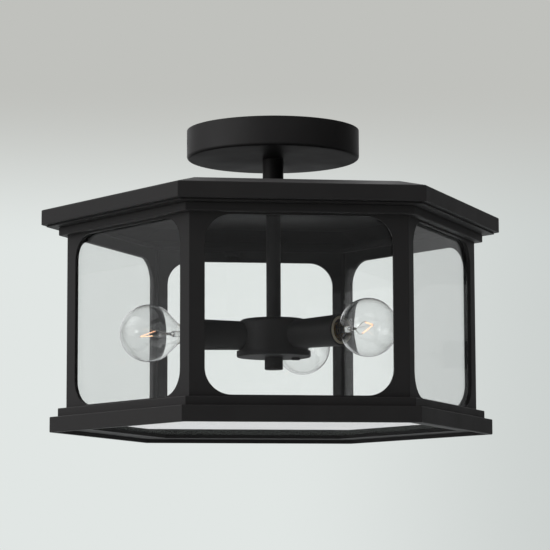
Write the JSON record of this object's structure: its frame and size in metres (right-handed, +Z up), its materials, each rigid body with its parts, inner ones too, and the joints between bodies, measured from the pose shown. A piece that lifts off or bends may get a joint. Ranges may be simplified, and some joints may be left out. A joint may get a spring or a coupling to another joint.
{
  "type": "porch ceiling lantern",
  "caption": "Hexagonal black metal ceiling lantern with rounded clear glass windows, a clear glass bottom and globe lamps on a central hub, hung on a short neck from a round canopy.",
  "frame": {"origin": "middle of the canopy's upper rim, in the plane of the ceiling", "axes": "+Z points up into the ceiling; +X runs through a corner of the hexagon, and the strap's long way; a flat side faces -Y"},
  "size_m": [0.4064, 0.352, 0.267],
  "materials": {
    "black_paint": "matt black powder coat, fine texture",
    "pane_glass": "clear float glass, polished",
    "lamp_glass": "clear blown glass",
    "zinc_steel": "zinc plated steel",
    "green_screw": "green chromate on steel",
    "brass": "bare rolled brass",
    "cream_sleeve": "cream pressboard insulating sleeve",
    "brown_socket": "brown moulded phenolic",
    "filament_wire": "drawn tungsten and nickel wire on a clear stem"
  },
  "bodies": {
    "lantern": {"mounting_strap": "zinc_steel", "ground_screw": "green_screw", "canopy": "black_paint", "canopy_screws": "black_paint", "threaded_pipe": "zinc_steel", "pipe_nuts": "zinc_steel", "pipe_washers": "zinc_steel", "neck_tube": "black_paint", "stem_tube": "black_paint", "lid": "black_paint", "crown_ring": "black_paint", "side_frame_1": "black_paint", "side_frame_2": "black_paint", "side_frame_3": "black_paint", "side_frame_4": "black_paint", "side_frame_5": "black_paint", "side_frame_6": "black_paint", "side_pane_1": "pane_glass", "side_pane_2": "pane_glass", "side_pane_3": "pane_glass", "side_pane_4": "pane_glass", "side_pane_5": "pane_glass", "side_pane_6": "pane_glass", "base_band": "black_paint", "base_slab": "black_paint", "glass_ledge": "black_paint", "ledge_screws": "black_paint", "hub_body": "black_paint", "hub_plate": "black_paint", "hub_bar": "zinc_steel", "hub_screw": "black_paint", "finial": "black_paint", "lamp_arm_1": "black_paint", "lamp_arm_2": "black_paint", "lamp_arm_3": "black_paint", "socket_sleeve_1": "cream_sleeve", "socket_sleeve_2": "cream_sleeve", "socket_sleeve_3": "cream_sleeve", "socket_body_1": "brown_socket", "socket_body_2": "brown_socket", "socket_body_3": "brown_socket", "socket_shell_1": "brass", "socket_shell_2": "brass", "socket_shell_3": "brass", "socket_contact_1": "brass", "socket_contact_2": "brass", "socket_contact_3": "brass"},
    "lamp_1": {"globe_1": "lamp_glass", "lamp_base_1": "brass", "filament_1": "filament_wire"},
    "lamp_2": {"globe_2": "lamp_glass", "lamp_base_2": "brass", "filament_2": "filament_wire"},
    "lamp_3": {"globe_3": "lamp_glass", "lamp_base_3": "brass", "filament_3": "filament_wire"},
    "lift_out_glass": {"bottom_glass": "pane_glass"}
  },
  "joints": [
    {"name": "lamp_1_screw", "type": "hinge", "parent": "lantern", "child": "lamp_1", "pos_m": [0.02588, 0.06504, -0.1821], "axis": [0.3697, 0.9291, 0], "range_deg": [0, 1260]},
    {"name": "lamp_2_screw", "type": "hinge", "parent": "lantern", "child": "lamp_2", "pos_m": [-0.06927, -0.0101, -0.1821], "axis": [-0.9895, -0.1444, 0], "range_deg": [0, 1260]},
    {"name": "lamp_3_screw", "type": "hinge", "parent": "lantern", "child": "lamp_3", "pos_m": [0.04338, -0.05493, -0.1821], "axis": [0.6198, -0.7848, 0], "range_deg": [0, 1260]},
    {"name": "bottom_glass_lift", "type": "slide", "parent": "lantern", "child": "lift_out_glass", "axis": [0, 0, 1], "range_m": [0, 0.04]}
  ]
}
